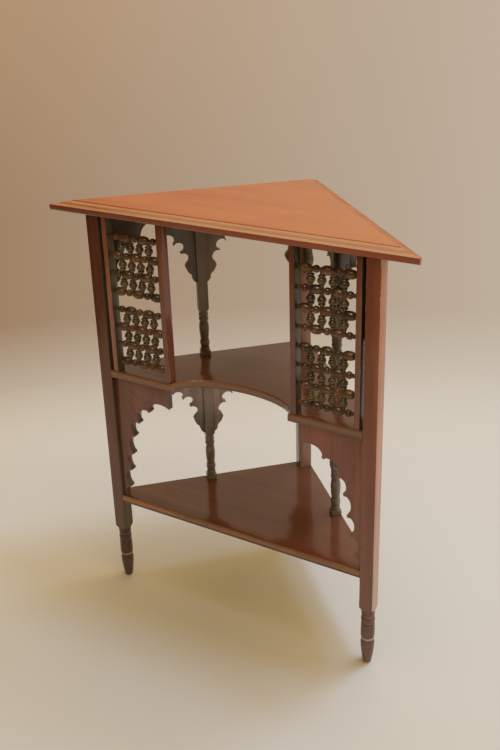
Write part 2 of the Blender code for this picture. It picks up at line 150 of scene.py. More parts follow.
# Wood finishes. Colours are linear, figure and fibre are counts per metre across the grain.
plainWood = {  # what a finish has where it says nothing else
    "fibre": 650,
    "stretch": 0.05,  # along the grain
    "streaks": 0.30,
    "chips": 1,
    "wornFrom": 0.45,  # a lower value spreads wear and painted highlight over more of each arris
    "wear": 0.40,
    "roughness": 0.30,
    "coat": 0.25,
    "coatRoughness": 0.16,
    "bump": 0.10,
}
woodLooks = {
    "topWood": {
        "dark": (0.405, 0.084, 0.014),
        "pale": (0.510, 0.136, 0.032),
        # paler towards the right: a painted sheen
        "faded": (0.48, 0.176, 0.055),
        "fade": ("X", -0.28, 0.42, 0.85),
        "streak": (0.30, 0.080, 0.026),
        "worn": (0.62, 0.32, 0.14),
        "grime": (0.34, 0.110, 0.040),
        "stretch": 0.06,
        "figure": 34,
        "fibre": 420,
        "streaks": 0.0,
        "wear": 0.35,
        "bump": 0.012,
    },
    "backMouldingWood": {
        "dark": (0.32, 0.092, 0.030),
        "pale": (0.42, 0.145, 0.052),
        "streak": (0.20, 0.060, 0.022),
        "worn": (0.50, 0.26, 0.12),
        "grime": (0.20, 0.070, 0.030),
        "stretch": 0.10,
        "figure": 60,
        "fibre": 420,
        "streaks": 0.10,
        "wear": 0.30,
        "roughness": 0.50,
        "coat": 0.05,
        "coatRoughness": 0.30,
        "bump": 0.04,
    },
    "mouldingWood": {
        "dark": (0.36, 0.110, 0.034),
        "pale": (0.48, 0.170, 0.060),
        # paler towards the middle and right: a painted highlight
        "faded": (0.48, 0.235, 0.108),
        "fade": ("X", -0.27, -0.10, 0.80),
        "streak": (0.26, 0.090, 0.032),
        "worn": (0.66, 0.38, 0.185),
        "grime": (0.28, 0.100, 0.038),
        "stretch": 0.10,
        "figure": 60,
        "fibre": 420,
        "streaks": 0.15,
        "wear": 0.50,
        "roughness": 0.34,
        "coat": 0.30,
    },
    "rimWood": {
        "dark": (0.120, 0.026, 0.011),
        "pale": (0.230, 0.062, 0.024),
        # lighter towards the right: painted light
        "faded": (0.300, 0.072, 0.028),
        "fade": ("X", -0.22, 0.10, 0.85),
        "streak": (0.060, 0.014, 0.007),
        "worn": (0.42, 0.19, 0.09),
        "grime": (0.030, 0.010, 0.006),
        "stretch": 0.045,
        "figure": 40,
        "fibre": 500,
        "streaks": 0.35,
        "wear": 0.55,
        "coat": 0.35,
        "coatRoughness": 0.14,
    },
    "frameWood": {
        "dark": (0.114, 0.036, 0.024),
        "pale": (0.190, 0.068, 0.046),
        "streak": (0.055, 0.016, 0.010),
        "worn": (0.66, 0.47, 0.31),
        "grime": (0.022, 0.009, 0.006),
        "chips": 3,
        "wornFrom": 1.05,
        # greyer towards the floor
        "faded": (0.116, 0.072, 0.058),
        "fade": ("Z", 0.36, 0.08, 0.60),
        "figure": 45,
        "streaks": 0.20,
        "wear": 0.60,
        "roughness": 0.26,
        "coat": 0.50,
        "coatRoughness": 0.12,
        "bump": 0.04,
    },
    # frame wood painted lighter and pinker for faces turned to the right-hand light, and for a painted
    # reflection on the back leg
    "sunnyWood": {
        "dark": (0.180, 0.086, 0.070),
        "pale": (0.280, 0.148, 0.130),
        "faded": (0.240, 0.184, 0.170),
        # paler towards the floor: painted shadow of the top's overhang above, painted light below
        "fade": ("Z", 0.50, 0.12, 0.65),
        "streak": (0.130, 0.060, 0.042),
        "worn": (0.66, 0.50, 0.36),
        "grime": (0.060, 0.030, 0.022),
        "chips": 3,
        "wornFrom": 1.05,
        "figure": 45,
        "wear": 0.60,
        "coat": 0.50,
        "coatRoughness": 0.14,
        "bump": 0.04,
    },
    "footWood": {
        "dark": (0.050, 0.027, 0.024),
        "pale": (0.114, 0.065, 0.057),
        "streak": (0.028, 0.016, 0.011),
        "worn": (0.40, 0.34, 0.29),
        "grime": (0.33, 0.30, 0.27),
        "stretch": 0.15,
        "figure": 80,
        "streaks": 0.35,
        "wear": 0.45,
        "roughness": 0.36,
        "coatRoughness": 0.20,
        "bump": 0.12,
    },
    "shelfWood": {
        "dark": (0.066, 0.026, 0.015),
        "pale": (0.138, 0.052, 0.028),
        # redder towards the right
        "faded": (0.170, 0.055, 0.029),
        "fade": ("X", -0.05, 0.20, 0.80),
        "streak": (0.040, 0.014, 0.009),
        "worn": (0.46, 0.190, 0.080),
        "grime": (0.022, 0.009, 0.006),
        "figure": 24,
        "fibre": 420,
        "streaks": 0.10,
        "wear": 0.75,
        "roughness": 0.20,
        "coat": 0.75,
        "coatRoughness": 0.07,
        "bump": 0.03,
    },
    "shelfEdgeWood": {
        "dark": (0.200, 0.098, 0.060),
        "pale": (0.380, 0.195, 0.110),
        # darker on the mid shelf's edge
        "faded": (0.178, 0.088, 0.056),
        "fade": ("Z", 0.25, 0.38, 0.75),
        "streak": (0.070, 0.028, 0.015),
        "worn": (0.46, 0.23, 0.11),
        "grime": (0.030, 0.013, 0.008),
        "stretch": 0.12,
        "figure": 30,
        "fibre": 420,
        "streaks": 0.15,
        "coat": 0.55,
        "bump": 0.05,
    },
    # carved wood painted paler and pinker for the lower tier's inner faces, as if lit from the floor
    "lowerCarvedWood": {
        "dark": (0.200, 0.156, 0.160),
        "pale": (0.385, 0.300, 0.310),
        # darker towards the bottom
        "faded": (0.092, 0.080, 0.086),
        "fade": ("Z", 0.345, 0.300, 0.85),
        "streak": (0.070, 0.046, 0.036),
        "worn": (0.40, 0.29, 0.22),
        "grime": (0.030, 0.022, 0.018),
        "stretch": 0.06,
        "figure": 70,
        "fibre": 700,
        "roughness": 0.28,
        "coat": 0.45,
        "coatRoughness": 0.14,
    },
    # dark carved wood of the brackets and posts, also painted shade on the legs' inner faces and the
    # aprons' cut edges
    "carvedWood": {
        "dark": (0.052, 0.038, 0.033),
        "pale": (0.108, 0.080, 0.070),
        # greyer above 0.52 m
        "faded": (0.088, 0.072, 0.074),
        "fade": ("Z", 0.52, 0.60, 0.55),
        "streak": (0.030, 0.018, 0.013),
        "worn": (0.26, 0.17, 0.12),
        "grime": (0.018, 0.012, 0.009),
        "stretch": 0.06,
        "figure": 70,
        "fibre": 700,
        "streaks": 0.15,
        "roughness": 0.36,
        "coat": 0.22,
        "coatRoughness": 0.18,
    },
    "beadWood": {
        "dark": (0.046, 0.027, 0.013),
        "pale": (0.190, 0.088, 0.036),
        "streak": (0.030, 0.018, 0.009),
        "worn": (0.52, 0.27, 0.12),
        "grime": (0.014, 0.011, 0.007),
        "stretch": 0.8,
        "figure": 48,
        "fibre": 900,
        "streaks": 0.25,
        "wear": 0.70,
        "roughness": 0.38,
        "coatRoughness": 0.26,
        "bump": 0.08,
    },
    "shadedWood": {
        "dark": (0.020, 0.020, 0.014),
        "pale": (0.050, 0.044, 0.030),
        "streak": (0.014, 0.012, 0.009),
        "worn": (0.14, 0.11, 0.08),
        "grime": (0.012, 0.012, 0.009),
        "figure": 55,
        "wear": 0.20,
        "roughness": 0.36,
        "coat": 0.20,
        "coatRoughness": 0.22,
    },
}
woodLooks["bobbinWood"] = {
    **woodLooks["beadWood"],
    "dark": (0.050, 0.036, 0.016),
    "pale": (0.140, 0.095, 0.042),
    "streak": (0.030, 0.022, 0.010),
    "worn": (0.36, 0.23, 0.11),
    "grime": (0.014, 0.012, 0.008),
    "wear": 0.55,
}
grainLook = {  # the same in all the finishes
    "cloudScale": 9,
    "patchScale": 32,
    "chipScale": 120,
    "speckScale": 260,
    "cloudShare": 0.3,
    "tones": (0.36, 0.64),
    "pores": (0.56, 0.70),
    "dirt": (0.25, 0.95),
    "grimeAndShadeShare": 0.9,
    "chipShare": 1.2,
    "patchShare": 0.9,
    "wearSpan": 0.35,
    "arris": (0.1, 0.4),
    "cloudRoughness": 0.16,
    "wornRoughness": 0.25,
    "relief": 0.0004,
    "ior": 1.48,
}


def newMaterial(name):
    material = bpy.data.materials.new(name)
    material.use_nodes = True
    return material, NodeSheet(material.node_tree), material.node_tree.nodes["Principled BSDF"]


def makeWood(name, changes):
    look = {**plainWood, **grainLook, **changes}
    material, sheet, shader = newMaterial(name)
    place = sheet.add("ShaderNodeAttribute", {"attribute_name": "grainPlace"}, {}, "Vector")
    edge = sheet.add("ShaderNodeAttribute", {"attribute_name": "edge"}, {}, "Fac")
    shade = sheet.add("ShaderNodeAttribute", {"attribute_name": "shade"}, {}, "Color")
    along = sheet.add("ShaderNodeMapping", {}, {"Vector": place, "Scale": (1, 1, look["stretch"])})
    fine = sheet.add("ShaderNodeMapping", {}, {"Vector": place, "Scale": (1, 1, look["stretch"] / 2)})
    figure = sheet.noise(along, look["figure"], 3, 0.8)
    fibre = sheet.noise(fine, look["fibre"], 3, 0.2)
    cloud = sheet.noise(place, look["cloudScale"], 2, 0.3)
    speck = sheet.noise(place, look["speckScale"], 3)
    patch = sheet.noise(place, look["patchScale"], 2)
    chip = sheet.noise(place, look["chipScale"], 4, 0.4)
    tone = sheet.ramp(figure * (1 - look["cloudShare"]) + cloud * look["cloudShare"], *look["tones"])
    colour = sheet.blend(tone, look["dark"], look["pale"])
    pores = sheet.ramp(fibre, *look["pores"])
    colour = sheet.blend(pores * look["streaks"] * 2, colour, look["streak"])
    # negative marks darken: grime, and painted shade in grooves, steps and undersides
    dirt = sheet.ramp(edge * -1 + speck * 0.3, *look["dirt"])
    colour = sheet.blend(dirt * look["grimeAndShadeShare"], colour, look["grime"])
    chipping = (chip - 0.5) * look["chipShare"] + (patch - 0.5) * look["patchShare"]
    wornTo = look["wornFrom"] + look["wearSpan"]
    # positive marks take the worn colour: wear, and painted highlights on the moulding and the shelf bay
    worn = sheet.ramp(edge + chipping * look["chips"], look["wornFrom"], wornTo)
    wear = worn * sheet.ramp(edge, *look["arris"]) * look["wear"]
    colour = sheet.blend(wear, colour, look["worn"])
    # colour shifted along one axis: painted sheen, highlight, light and shade on some finishes, a tone by
    # height or place on others
    if "faded" in look:
        axis, start, end, share = look["fade"]
        whole = sheet.add("ShaderNodeTexCoord", {}, {}, "Object")
        spot = sheet.add("ShaderNodeSeparateXYZ", {}, {"Vector": whole}, axis)
        colour = sheet.blend(sheet.ramp(spot, start, end) * share, colour, look["faded"])
    # the piece's lightness multiplies the colour: its own tone together with painted light and shade
    colour = sheet.blend(1, colour, shade, "MULTIPLY")
    roughness = look["roughness"] + (cloud - 0.5) * look["cloudRoughness"]
    roughness = roughness + (speck - 0.5) * look["bump"] + wear * look["wornRoughness"]
    height = fibre * 0.5 + pores * -0.5 + speck * 0.2
    bumpValues = {"Strength": look["bump"], "Distance": look["relief"], "Height": height}
    bump = sheet.add("ShaderNodeBump", {}, bumpValues)
    sheet.feed(shader.inputs["Base Color"], colour)
    sheet.feed(shader.inputs["Roughness"], roughness)
    sheet.feed(shader.inputs["Normal"], bump)
    shader.inputs["Coat Weight"].default_value = look["coat"]
    shader.inputs["Coat Roughness"].default_value = look["coatRoughness"]
    shader.inputs["IOR"].default_value = look["ior"]
    return material


woods = {name: makeWood(name, look) for name, look in woodLooks.items()}
print("finishes made:", len(woods))


# Shape helpers

def startShape():
    shape = bmesh.new()
    shape.verts.layers.float.new("edge")  # 1 on worn arrises and painted highlights, -1 in grooves and undersides for grime and painted shade
    return shape


def soften(shape, edges, width, steps=2):  # the middle of each round is marked as an arris
    layer = shape.verts.layers.float["edge"]
    made = bmesh.ops.bevel(
        shape, geom=edges, offset=width, segments=steps, profile=0.5, affect="EDGES", clamp_overlap=True
    )
    newFaces = set(made["faces"])
    for vert in made["verts"]:
        if all(face in newFaces for face in vert.link_faces):
            vert[layer] = 1


def sharpEdges(shape, angle=math.radians(25)):
    return [edge for edge in shape.edges if edge.calc_face_angle(0) > angle]


def extrudedShape(outline, low, high):
    shape = startShape()
    corners = [shape.verts.new((x, y, low)) for x, y in outline]
    face = shape.faces.new(corners)
    grown = bmesh.ops.extrude_face_region(shape, geom=[face])
    raised = [part for part in grown["geom"] if isinstance(part, bmesh.types.BMVert)]
    bmesh.ops.translate(shape, verts=raised, vec=(0, 0, high - low))
    bmesh.ops.recalc_face_normals(shape, faces=shape.faces)
    return shape


def squareBar(square, low, high, arris):
    half = square / 2
    corners = [(-half, -half), (half, -half), (half, half), (-half, half)]
    shape = extrudedShape(corners, low, high)
    soften(shape, sharpEdges(shape), arris)
    return shape


def turnedLine(steps, height, radius, base=0.0):  # the third value of a step is its bulge
    points = []
    for heightShare, radiusShare, bulge in steps:
        end = Vector((base + height * heightShare, radius * radiusShare))
        if bulge and points:
            start = Vector(points[-1])
            count = 12
            for index in range(1, count):
                turn = math.pi * index / count
                share = (1 - math.cos(turn)) / 2
                point = start.lerp(end, share)
                points.append((point.x, point.y + radius * bulge * math.sin(turn)))
        points.append(tuple(end))
    return points


def lathe(points, sides):  # points are (height, radius)
    shape = startShape()
    layer = shape.verts.layers.float["edge"]
    rings = []
    for index, (height, radius) in enumerate(points):
        before = points[max(index - 1, 0)][1]
        after = points[min(index + 1, len(points) - 1)][1]
        ring = []
        for side in range(sides):
            angle = 2 * math.pi * side / sides
            vert = shape.verts.new((radius * math.cos(angle), radius * math.sin(angle), height))
            # grooves: grime and painted shade
            if radius <= before and radius <= after and before + after > radius * 2:
                vert[layer] = -1
            elif radius > before and radius > after:
                vert[layer] = 0.5
            ring.append(vert)
        rings.append(ring)
    for lower, upper in zip(rings, rings[1:]):
        for side in range(sides):
            after = (side + 1) % sides
            shape.faces.new((lower[side], lower[after], upper[after], upper[side]))
    shape.faces.new(rings[0][::-1])
    shape.faces.new(rings[-1])
    bmesh.ops.recalc_face_normals(shape, faces=shape.faces)
    return shape


def cutOff(shape, point, normal):  # on the side that the normal looks to
    everything = shape.verts[:] + shape.edges[:] + shape.faces[:]
    cut = bmesh.ops.bisect_plane(shape, geom=everything, plane_co=point, plane_no=normal, clear_outer=True)
    loop = [part for part in cut["geom_cut"] if isinstance(part, bmesh.types.BMEdge)]
    return bmesh.ops.edgeloop_fill(shape, edges=loop)["faces"]


def shapeMesh(name, shape):
    mesh = bpy.data.meshes.new(name)
    shape.to_mesh(mesh)
    shape.free()
    return mesh


def sceneObject(name, contents):
    made = bpy.data.objects.new(name, contents)
    bpy.context.scene.collection.objects.link(made)
    return made


def bakedMesh(made):  # plain mesh, with the modifiers applied
    bpy.context.view_layer.update()
    graph = bpy.context.evaluated_depsgraph_get()
    mesh = bpy.data.meshes.new_from_object(made.evaluated_get(graph), depsgraph=graph)
    mesh.name = made.name
    made.modifiers.clear()
    return mesh


def commonPart(name, firstShape, secondShape):
    first = sceneObject(name, shapeMesh(name, firstShape))
    second = sceneObject(name + "Cutter", shapeMesh(name + "Cutter", secondShape))
    step = first.modifiers.new("turning", "BOOLEAN")
    step.operation = "INTERSECT"
    step.solver = "EXACT"
    step.object = second
    mesh = bakedMesh(first)
    bpy.data.objects.remove(first)
    bpy.data.objects.remove(second)
    return mesh


grainTurns = {  # turns that lay the grain's own Z along a world direction
    "up": Matrix.Identity(3),
    "across": Matrix.Rotation(math.pi / 2, 3, "Y"),
}
pieceCount = 0
toneAndPaintedLight = {  # how light a piece is beside the others of its wood, by the start of its name: its own tone together with painted light and shade
    "left_front_leg": 0.85,
    "right_front_leg": 1.55,
    "right_apron": 1.55,
    "left_outer_stile": 1.6,
    "right_outer_stile": 1.25,
    "left_lower_bracket_post_back": 1.8,
    "right_lower_bracket": 1.2,
    "right_upper_bracket": 0.85,
    "left_upper_bracket_post_back": 1.8,
    "upper_left_post": 2.3,
}
turnedShade = 1.2  # the turned parts of all the posts
turnedBelow = 0.512  # height under which a post counts as turned


def dressPiece(node, mesh, finishes, grain="up", sharp=32):  # takes the place of its solid
    global pieceCount
    pieceCount += 1
    words = node.split("_")
    name = words[0] + "".join(word.capitalize() for word in words[1:])
    shift = Vector((0.371, 0.713, 0.537)) * pieceCount
    turn = grainTurns[grain]
    places = mesh.attributes.new("grainPlace", "FLOAT_VECTOR", "POINT")
    flat = []
    for vert in mesh.vertices:
        flat.extend(turn @ vert.co + shift)
    places.data.foreach_set("vector", flat)
    shade = mesh.attributes.new("shade", "FLOAT", "POINT")
    whole = next((value for start, value in toneAndPaintedLight.items() if node.startswith(start)), 1)
    isPost = node.endswith("_post")
    lightness = [turnedShade if isPost and vert.co.z < turnedBelow else whole for vert in mesh.vertices]
    shade.data.foreach_set("value", lightness)
    mesh.shade_smooth()
    mesh.set_sharp_from_angle(angle=math.radians(sharp))
    if not mesh.materials:
        for finish in finishes:
            mesh.materials.append(woods[finish])
    made = sceneObject(name, mesh)
    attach(made, "root")
    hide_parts(node)
    return made


# Top board
topLook = {
    "frontTipCut": 0.006,
    "rimRound": 0.0035,
    "rimHeight": 0.0100,
    "lipWidth": 0.0085,
    "lipStep": 0.0020,
    "ovoloWidth": 0.0072,
    "fieldInset": 0.0164,
    "fieldStep": 0.0015,
    "arris": 0.0008,
}
topFinishes = ["topWood", "rimWood", "mouldingWood", "backMouldingWood"]
field, rim, moulding, backMoulding = range(4)


def topRings(look, thickness):
    rings = []  # inset, height above the underside, arris mark, and finish up to the next ring
    for step in range(7):
        angle = math.pi / 2 * step / 6
        inset = look["rimRound"] * (1 - math.sin(angle))
        rings.append((inset, look["rimRound"] * (1 - math.cos(angle)), 0.5 if step == 3 else 0, rim))
    arris = look["arris"]
    rimTop = look["rimHeight"]
    lipTop = rimTop + look["lipStep"]
    # the lip's marks: wear and a painted highlight on its arris, grime and painted shade in the groove
    # before the ovolo
    rings += [
        (0, rimTop - 2.5 * arris, 0, rim),
        (0, rimTop - arris, 0.6, rim),
        (arris * 0.3, rimTop - arris * 0.3, 1, moulding),
        (arris, rimTop, 0.6, moulding),
        (arris * 3, rimTop, 0.2, moulding),
        (look["lipWidth"] - arris, lipTop - arris, -0.2, moulding),
        (look["lipWidth"], lipTop, -0.4, moulding),
    ]
    ovoloTop = thickness - look["fieldStep"]
    # the ovolo's middle takes the worn colour: wear and a painted highlight band
    for step in range(1, 9):
        share = step / 8
        height = lipTop + (ovoloTop - lipTop) * math.sin(math.pi / 2 * share)
        inset = look["lipWidth"] + look["ovoloWidth"] * share
        rings.append((inset, height, 0.75 if 2 < step < 7 else 0.2, moulding))
    inset = look["fieldInset"]
    # painted shade in the step before the field
    rings += [
        (inset, ovoloTop, -0.35, field),
        (inset + arris, thickness - arris * 0.6, 0.1, field),
        (inset + arris * 2, thickness - arris * 0.1, 0.3, field),
        (inset + arris * 4, thickness, 0, field),
    ]
    return rings


def makeTop(look):
    thickness = topHigh.z - topLow.z
    half = topHigh.x + look["frontTipCut"]
    shape = startShape()
    layer = shape.verts.layers.float["edge"]
    rings = []
    finishes = []
    for inset, height, edge, finish in topRings(look, thickness):
        front = topLow.y + inset
        reach = half - inset * (1 + rootTwo)
        corners = [(-reach, front), (reach, front), (0, front + reach)]
        ring = [shape.verts.new((x, y, topLow.z + height)) for x, y in corners]
        for vert in ring:
            vert[layer] = edge
        rings.append(ring)
        finishes.append(finish)
    for index, (lower, upper) in enumerate(zip(rings, rings[1:])):
        for side in range(3):
            after = (side + 1) % 3
            face = shape.faces.new((lower[side], lower[after], upper[after], upper[side]))
            # the back strips take a plainer moulding wood, without the front's painted sheen
            isBack = side > 0 and finishes[index] == moulding
            face.material_index = backMoulding if isBack else finishes[index]
    underside = shape.faces.new(rings[0][::-1])
    underside.material_index = rim
    shape.faces.new(rings[-1])
    snips = [
        ((topHigh.x, 0, 0), (1, 0, 0)),
        ((topLow.x, 0, 0), (-1, 0, 0)),
        ((0, topHigh.y, 0), (0, 1, 0)),
    ]
    for point, normal in snips:
        for face in cutOff(shape, point, normal):
            face.material_index = rim
    bmesh.ops.recalc_face_normals(shape, faces=shape.faces)
    mesh = shapeMesh("topBoard", shape)
    dressPiece("top_board", mesh, topFinishes, "across", 20)


makeTop(topLook)
print("top made")


# Legs and posts
turnedLook = {
    "arris": 0.0009,
    "postArris": 0.0007,
    "sides": 56,
    "footHeight": 0.1064,
    "overrun": 0.010,
    "wide": 1.2,  # cutter radius over half the diagonal
    "upperTurned": 0.315,  # turned height over the space between the boards
    "lowerTurned": 0.401,
    "plinth": 0.085,
    "innerFrom": 0.9,  # least share of a face's normal, for each of these faces
    "litSideFrom": 0.6,
    "outerFrom": 0.3,
}
footSteps = [
    (0.000, 0.55, 0),
    (0.018, 0.62, 0),
    (0.330, 0.97, 0.05),
    (0.385, 0.98, 0.02),
    (0.440, 0.91, 0),
    (0.458, 0.91, 0),
    (0.475, 0.95, 0),
    (0.735, 0.93, 0.06),
    (0.748, 0.88, 0),
    (0.758, 0.91, 0),
    (0.845, 0.91, 0.08),
    (0.856, 0.87, 0),
    (0.868, 0.91, 0),
    (0.975, 0.96, 0.03),
]
postSteps = [
    (0.100, 0.86, 0),
    (0.124, 0.85, 0),
    (0.180, 0.84, 0.09),
    (0.200, 0.84, 0),
    (0.215, 0.88, 0),
    (0.340, 0.83, 0.12),
    (0.352, 0.82, 0),
    (0.540, 0.97, 0.03),
    (0.720, 0.82, 0.09),
    (0.735, 0.81, 0),
    (0.752, 0.86, 0),
    (0.828, 0.87, 0.13),
    (0.842, 0.86, 0),
    (0.905, 0.92, 0.07),
    (0.935, 0.90, 0),
]


def turnedBar(node, look, bar, half, points, shoulder, turn):  # turned up to the shoulder
    low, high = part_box(node)
    middle = (low + high) / 2
    wide = half * rootTwo * look["wide"]
    points += [(shoulder + wide - half, wide), (high.z + look["overrun"], wide)]
    mesh = commonPart(node, bar, lathe(points, look["sides"]))
    mesh.transform(Matrix.Translation((middle.x, middle.y, 0)) @ Matrix.Rotation(turn, 4, "Z"))
    return mesh


def makeLeg(node, look, turn):
    low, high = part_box(node)
    bar = squareBar(legSquare, -look["overrun"], high.z, look["arris"])
    points = turnedLine(footSteps, look["footHeight"], legSquare / 2)
    mesh = turnedBar(node, look, bar, legSquare / 2, points, look["footHeight"], turn)
    finishes = ["frameWood", "footWood", "carvedWood", "sunnyWood"]
    for face in mesh.polygons:
        inwards = -face.normal.x * math.copysign(1, low.x + high.x)
        finish = "frameWood"
        if face.center.z < look["footHeight"]:
            finish = "footWood"
        # the front legs' inner faces, in the recess beside the aprons, take the dark wood as painted shade
        elif not turn and inwards > look["innerFrom"]:
            finish = "carvedWood"
        # faces turned to the right take the painted-lit copy of the frame wood
        elif node != "left_front_leg" and face.normal.x > look["litSideFrom"]:
            finish = "sunnyWood"
        face.material_index = finishes.index(finish)
    dressPiece(node, mesh, finishes)


def carvedFinishes(node, mesh, outerFrom):  # the lower tier's inner faces are painted lighter, as if lit from the floor
    if "lower" not in node:
        return ["carvedWood"]
    for face in mesh.polygons:
        if face.normal.y > outerFrom:
            face.material_index = 1
    return ["lowerCarvedWood", "carvedWood"]


def makePost(node, look, turnedShare):
    low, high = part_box(node)
    half = postSquare / 2
    wide = half * rootTwo * look["wide"]
    turned = (high.z - low.z) * turnedShare
    points = [(low.z - look["overrun"], wide), (low.z + turned * look["plinth"], wide)]
    points += turnedLine(postSteps, turned, half, low.z)
    bar = squareBar(postSquare, low.z, high.z, look["postArris"])
    mesh = turnedBar(node, look, bar, half, points, low.z + turned, math.pi / 4)
    dressPiece(node, mesh, carvedFinishes(node, mesh, look["outerFrom"]))


makeLeg("left_front_leg", turnedLook, 0)
makeLeg("right_front_leg", turnedLook, 0)
makeLeg("back_leg", turnedLook, math.pi / 4)
for side in ("left", "right"):
    makePost(f"upper_{side}_post", turnedLook, turnedLook["upperTurned"])
    makePost(f"lower_{side}_post", turnedLook, turnedLook["lowerTurned"])
print("legs and posts made")


# Shelves
shelfLook = {
    "edgeRound": 0.0040,
    "edgeSteps": 4,
    # marks on the front round: wear and a painted highlight above, strongest in the bay, painted shade
    # below
    "edgeMark": 0.45,
    "endMark": 0.25,
    "bayHighlightMark": 0.85,
    "undersideShadeMark": -0.75,
    "underReach": 1.1,  # height of the painted shade on the underside, over the round
    "flatFrom": 0.98,  # least share of a flat face's normal
    "backFrom": 0.3,
    "bayDepth": 0.0495,
    "bayShare": 0.462,  # half width of the bay, over the clear half width between the legs
    "bayPoints": 56,
}


def shelfOutline(look, hasBay):
    inner = legLow.x - gap
    behind = legSquare + gap
    halfCorner = legSquare / rootTwo
    notch = gap / rootTwo
    right = [
        (inner, 0),
        (inner, behind),
        (cornerReach - behind, behind),
        (halfCorner + notch, cornerReach - halfCorner - notch),
    ]
    tip = [(0, cornerReach - 2 * halfCorner - gap * rootTwo)]
    left = [(-x, y) for x, y in reversed(right)]
    front = []
    if hasBay:
        count = look["bayPoints"]
        halfWidth = legLow.x * look["bayShare"]
        for index in range(count + 1):
            angle = math.pi * (1 - index / count)
            front.append((halfWidth * math.cos(angle), look["bayDepth"] * math.sin(angle)))
    outline = [(x, frontPlane + y) for x, y in front + right + tip + left]
    return outline, len(front)


def makeShelf(node, look, hasBay):
    low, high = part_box(node)
    outline, frontCount = shelfOutline(look, hasBay)
    shape = extrudedShape(outline, low.z, high.z)

    def spots(points):
        return {(round(point[0], 6), round(point[1], 6)) for point in points}

    front = spots(outline[: frontCount + 1] + outline[-1:])

    def isFront(edge):
        ends = spots(vert.co for vert in edge.verts)
        return len(ends) == 2 and ends <= front

    frontEdges = [edge for edge in shape.edges if isFront(edge)]
    soften(shape, frontEdges, look["edgeRound"], look["edgeSteps"])
    layer = shape.verts.layers.float["edge"]
    # painted shade under the front round, wear and painted highlight above it
    for vert in shape.verts:
        inBay = abs(vert.co.x) < legLow.x * look["bayShare"]
        if vert.co.z < low.z + look["edgeRound"] * look["underReach"]:
            vert[layer] = look["undersideShadeMark"]
        elif vert.co.z < high.z - gap:
            vert[layer] = look["edgeMark"]
            if hasBay:
                vert[layer] = look["bayHighlightMark"] if inBay else look["endMark"]
    shape.normal_update()
    for face in shape.faces:
        if abs(face.normal.z) < look["flatFrom"] and face.normal.y < look["backFrom"]:
            face.material_index = 1
    mesh = shapeMesh(node, shape)
    dressPiece(node, mesh, ["shelfWood", "shelfEdgeWood"], "across", 35)


makeShelf("mid_shelf", shelfLook, True)
makeShelf("bottom_shelf", shelfLook, False)
print("shelves made")


# Scalloped boards
apronLook = {
    "arris": 0.0007,
    "facet": math.radians(9),
    "nose": 0.0062,  # walked along both arcs, from where they meet
    "flatFrom": 0.5,  # least share of a flat face's normal
}
apronShares = [  # shares of the reach and drop, bite and lean of the arc
    (1.000, 0.165, 0.00, 0.00),
    (0.628, 0.229, 0.62, -0.30),
    (0.416, 0.341, 0.80, 0.00),
    (0.306, 0.461, 0.76, 0.20),
    (0.244, 0.619, 0.56, 0.30),
    (0.187, 0.764, 0.60, 0.30),
    (0.129, 0.917, 0.60, 0.30),
    (0.040, 1.000, 0.45, 0.00),
]
bracketLook = {
    "arris": 0.0006,
    "facet": math.radians(12),
    "thickness": 0.0105,
    "nose": 0.0052,
}
bracketShares = [
    (1.000, 0.190, 0.00, 0.00),
    (0.794, 0.398, 0.38, 0.00),
    (0.534, 0.506, 1.00, 0.00),
    (0.368, 0.612, 1.40, 0.00),
    (0.234, 0.755, 0.85, 0.00),
    (0.232, 0.825, -0.35, 0.00),
    (0.113, 0.905, -0.12, 0.00),
    (0.000, 1.000, -0.30, 0.00),
]
lowerBracketShares = list(bracketShares)  # its upper tips sit a little higher
lowerBracketShares[2:4] = [(0.534, 0.485, 1.00, 0.00), (0.352, 0.592, 1.40, 0.00)]


def arc(start, end, bite, lean, facet):  # bites to the right of its way
    start, end = Vector(start), Vector(end)
    half = (end - start) / 2
    aside = Vector((half.y, -half.x))
    sweep = 4 * math.atan(bite)
    steps = max(1, round(abs(sweep) / facet))
    points = []
    for step in range(1, steps):
        angle = sweep * (step / steps - 0.5)
        along = math.sin(angle) / math.sin(sweep / 2)
        rise = (math.cos(angle) - math.cos(sweep / 2)) / math.sin(sweep / 2)
        points.append(start + half * (1 + along - lean * rise) + aside * rise)
    points.append(end)
    return [tuple(point) for point in points]


def walked(outline, start, step, length):  # a step of -1 walks back
    index = start
    while True:
        here, there = Vector(outline[index]), Vector(outline[index + step])
        span = (there - here).length
        if span >= length:
            return here.lerp(there, length / span), index
        length -= span
        index += step


def roundNoses(outline, tips, length):  # tips are where two arcs meet
    for tip in reversed(tips):
        before, low = walked(outline, tip, -1, length)
        after, high = walked(outline, tip, 1, length)
        ahead = (Vector(outline[tip]) - before.lerp(after, 0.5)) * 4 / 3
        nose = []
        count = 8
        for step in range(count + 1):
            share = step / count
            swell = 3 * share * (1 - share)
            nose.append(tuple(before.lerp(after, share * share * (3 - 2 * share)) + ahead * swell))
        outline[low : high + 1] = nose
    return outline


def scallops(reach, drop, shares, look):
    first = shares[0]
    outline = [(0, 0), (reach, 0), (reach * first[0], -drop * first[1])]
    tips = []
    for reachShare, dropShare, bite, lean in shares[1:]:
        end = (reach * reachShare, -drop * dropShare)
        outline += arc(outline[-1], end, bite, lean, look["facet"])
        tips.append(len(outline) - 1)
    if shares[-1][0] > 0:
        outline.append((0, -drop))
    return roundNoses(outline, tips[:-1], look["nose"])


def scallopedBoard(outline, thickness, arris):
    shape = extrudedShape(outline, -thickness / 2, thickness / 2)
    flat = [edge for edge in sharpEdges(shape) if abs(edge.verts[0].co.z - edge.verts[1].co.z) < gap]
    soften(shape, flat, arris)
    return shape


def boardPlace(outwards, corner):
    up = Vector((0, 0, 1))
    place = Matrix((outwards, up, outwards.cross(up))).transposed().to_4x4()
    place.translation = corner
    return place


